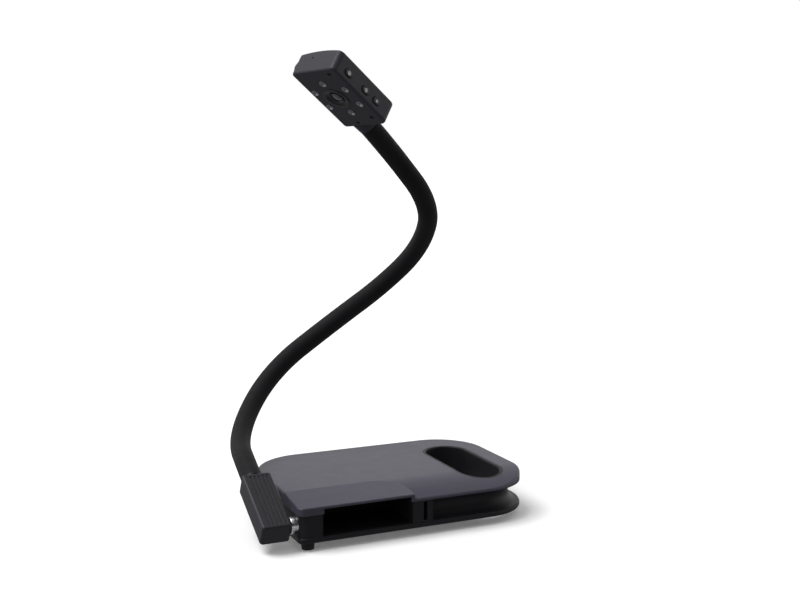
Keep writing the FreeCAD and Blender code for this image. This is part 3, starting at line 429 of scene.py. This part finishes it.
FINISHES = {
    "cover_plastic": moulded("cover_plastic", (0.050, 0.046, 0.068), 0.42, specular=0.38, edge=0.5,
                             uneven=0.5),
    "shell_plastic": moulded("shell_plastic", (0.013, 0.0125, 0.0155), 0.46, specular=0.2),
    "pocket_plastic": moulded("pocket_plastic", (0.008, 0.008, 0.009), 0.55, specular=0.2),
    "arm_plastic": moulded("arm_plastic", (0.020, 0.019, 0.024), 0.44, specular=0.3, edge=0.6),
    # The head's edges are painted only a little lighter: rubbed wear and a painted edge highlight.
    "head_plastic": moulded("head_plastic", (0.034, 0.032, 0.043), 0.50, grain=0.4, specular=0.28,
                            wear_and_highlight_tone=(0.040, 0.038, 0.050), uneven=0.6),
    "button_black": moulded("button_black", (0.006, 0.006, 0.007), 0.36, grain=0.3, specular=0.35, edge=0.2),
    "neck_rubber": rubbery("neck_rubber", (0.0085, 0.0078, 0.0095), 0.72, specular=0.14),
    "foot_rubber": rubbery("foot_rubber", (0.014, 0.014, 0.014), 0.75, grain=0.5),
    "steel": metal("steel", (0.52, 0.52, 0.54), 0.32),
    "black_steel": metal("black_steel", (0.030, 0.030, 0.034), 0.42, tarnish=0.2),
    "chrome": metal("chrome", (0.86, 0.86, 0.88), 0.22, tarnish=0.08),
    "brass": metal("brass", (0.70, 0.52, 0.24), 0.28),
    "circuit_board": circuit_board(),
    "chip_black": chip_black(),
    "lens_glass": lens_glass(),
    "lens_black": moulded("lens_black", (0.006, 0.006, 0.007), 0.30, grain=0.3, specular=0.5, edge=0.25),
    "lamp_clear": lamp_clear(),
    "lamp_cup": metal("lamp_cup", (0.50, 0.50, 0.53), 0.42),
}

for row in frame["record"]["subparts"]:
    node = frame["nodes"][row["node"]]
    node.data.materials.clear()
    node.data.materials.append(FINISHES[row["material_slot"]])


def finish(piece, slot):
    """Give a new piece the finish of the given slot."""
    piece.data.materials.append(FINISHES[slot])


# ------------------------------------------------------------------ the neck's sleeve

for number in range(len(NECK_STATIONS)):
    ring = number * RINGS_PER_ARC
    sleeve = neck_sleeve("neck_skin_%d" % (number + 1), max(ring - HALF_ARC, 0), ring + HALF_ARC)
    finish(sleeve, "neck_rubber")
    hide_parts("neck_sleeve_%d" % (number + 1))
    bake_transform(sleeve)
top_ring = len(NECK_STATIONS) * RINGS_PER_ARC
top_sleeve = neck_sleeve("neck_skin_top", top_ring - HALF_ARC, top_ring, meets_collar=True)
finish(top_sleeve, "neck_rubber")
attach(top_sleeve, "neck_%d" % len(NECK_STATIONS))


# ------------------------------------------------------------------ marks printed on the buttons

def flat_mark(name, button, outline):
    """A thin raised mark on a button's face. The outline is in millimetres about the button's middle."""
    x, z = BUTTON_PLACES[button]
    outer, inner = BUTTON_FACE_Y - MARK_THICKNESS, BUTTON_FACE_Y + MARK_SUNK
    points = [HEAD @ mm(x + u, y, z + v) for y in (outer, inner) for u, v in outline]
    count = len(outline)
    faces = [tuple(range(count)), tuple(range(2 * count - 1, count - 1, -1))]
    faces += [(i, (i + 1) % count, count + (i + 1) % count, count + i) for i in range(count)]
    mark = mesh_from(name, points, faces)
    mark.data.materials.append(BUTTON_MARK)
    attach(mark, button)


def round_outline(radius, points=28):
    """The points of a disc."""
    return [(radius * math.cos(2 * math.pi * i / points), radius * math.sin(2 * math.pi * i / points))
            for i in range(points)]


def cross_outline(reach, arm):
    """The points of an upright cross whose arms are twice arm wide."""
    return [(arm, arm), (arm, reach), (-arm, reach), (-arm, arm), (-reach, arm), (-reach, -arm),
            (-arm, -arm), (-arm, -reach), (arm, -reach), (arm, -arm), (reach, -arm), (reach, arm)]


BUTTON_MARK = printed("button_mark", (0.62, 0.62, 0.64))
flat_mark("far_button_mark", "far_button", round_outline(1.9))
flat_mark("middle_button_mark", "middle_button", cross_outline(2.0, 0.75))
flat_mark("near_button_mark", "near_button", round_outline(1.4))


# ------------------------------------------------------------------ camera, floor and light

CAMERA_PLACE = mm(-429.2, -974.4, 339.6)
CAMERA_TARGET = mm(20.9, 18.9, 195.6)
CAMERA_LENS = 52.55
SENSOR_WIDTH = 36.0
KEY_PLACE = mm(-420, 150, 900)
KEY_SOFTNESS = 35.0
KEY_POWER = 2.2


def look_at(position, target):
    """Where something stands that is at position and faces target."""
    back = (position - target).normalized()
    return Matrix.Translation(position) @ back.to_track_quat("Z", "Y").to_matrix().to_4x4()


camera_data = bpy.data.cameras.new("camera")
camera_data.sensor_width = SENSOR_WIDTH
camera_data.lens = CAMERA_LENS
camera_data.clip_start = 0.01
camera_data.clip_end = 100.0
camera = bpy.data.objects.new("camera", camera_data)
bpy.context.scene.collection.objects.link(camera)
camera.matrix_world = look_at(CAMERA_PLACE, CAMERA_TARGET)
bpy.context.scene.camera = camera

FLOOR_HALF = 40.0
FLOOR_GLOW = 0.12
floor = mesh_from("floor", [(x, y, 0.0) for x, y in ((-1, -1), (1, -1), (1, 1), (-1, 1))], [(0, 1, 2, 3)])
floor.scale = (FLOOR_HALF, FLOOR_HALF, 1.0)
floor.visible_diffuse = False
floor.visible_glossy = False
paint = Finish("floor_paint")
mottle = paint.noise(60.0, 4.0)
floor.data.materials.append(paint.set(
    Base_Color=paint.mixed(mottle, (0.92, 0.92, 0.92), (0.95, 0.95, 0.95)),
    Roughness=paint.ranged(mottle, 0.75, 0.9), Specular_IOR_Level=0.1,
    Emission_Color=(1.0, 1.0, 1.0), Emission_Strength=FLOOR_GLOW))

# A black card behind the camera keeps the light off the faces that look forward.
CARD_PLACE = (-0.2, -1.5, 0.0)
CARD_HALF_WIDTH = 1.6
CARD_HEIGHT = 1.7
card = mesh_from("black_card", [(x * CARD_HALF_WIDTH, 0.0, z * CARD_HEIGHT)
                                for x, z in ((-1, 0), (1, 0), (1, 1), (-1, 1))], [(0, 1, 2, 3)])
card.location = CARD_PLACE
card.visible_camera = False
card.visible_shadow = False
felt = Finish("black_felt")
nap = felt.noise(2.0, 5.0)
card.data.materials.append(felt.set(
    Base_Color=felt.mixed(nap, (0.010, 0.010, 0.010), (0.022, 0.022, 0.022)),
    Roughness=felt.ranged(nap, 0.85, 1.0), Specular_IOR_Level=0.0))

# How bright the studio is at each height: straight down is 0, the horizon is 0.5 and overhead is 1.
STUDIO = ((0.0, 0.26), (0.40, 0.24), (0.492, 1.0), (0.66, 1.0), (0.76, 0.45), (1.0, 0.55))


def studio(bands_of_light):
    """A grey sky whose brightness changes only with height."""
    world = bpy.data.worlds.new("studio")
    world.use_nodes = True
    sky = world.node_tree
    split = sky.nodes.new("ShaderNodeSeparateXYZ")
    sky.links.new(sky.nodes.new("ShaderNodeTexCoord").outputs["Generated"], split.inputs[0])
    lift = sky.nodes.new("ShaderNodeMath")
    lift.operation = "MULTIPLY_ADD"
    lift.inputs[1].default_value = 0.5
    lift.inputs[2].default_value = 0.5
    ramp = sky.nodes.new("ShaderNodeValToRGB")
    sky.links.new(split.outputs["Z"], lift.inputs[0])
    sky.links.new(lift.outputs[0], ramp.inputs[0])
    while len(ramp.color_ramp.elements) < len(bands_of_light):
        ramp.color_ramp.elements.new(0.5)
    for element, (position, grey) in zip(ramp.color_ramp.elements, bands_of_light):
        element.position = position
        element.color = (grey, grey, grey, 1.0)
    sky.links.new(ramp.outputs[0], sky.nodes["Background"].inputs["Color"])
    sky.nodes["Background"].inputs["Strength"].default_value = 1.0
    return world


bpy.context.scene.world = studio(STUDIO)


def sun(name, position, softness, power):
    """Even light from the direction of position; softness is its width in degrees."""
    data = bpy.data.lights.new(name, "SUN")
    data.angle = math.radians(softness)
    data.energy = power
    lamp = bpy.data.objects.new(name, data)
    bpy.context.scene.collection.objects.link(lamp)
    lamp.matrix_world = look_at(position, Vector((0.0, 0.0, 0.0)))


sun("key", KEY_PLACE, KEY_SOFTNESS, KEY_POWER)
bpy.context.scene.view_settings.view_transform = "Standard"
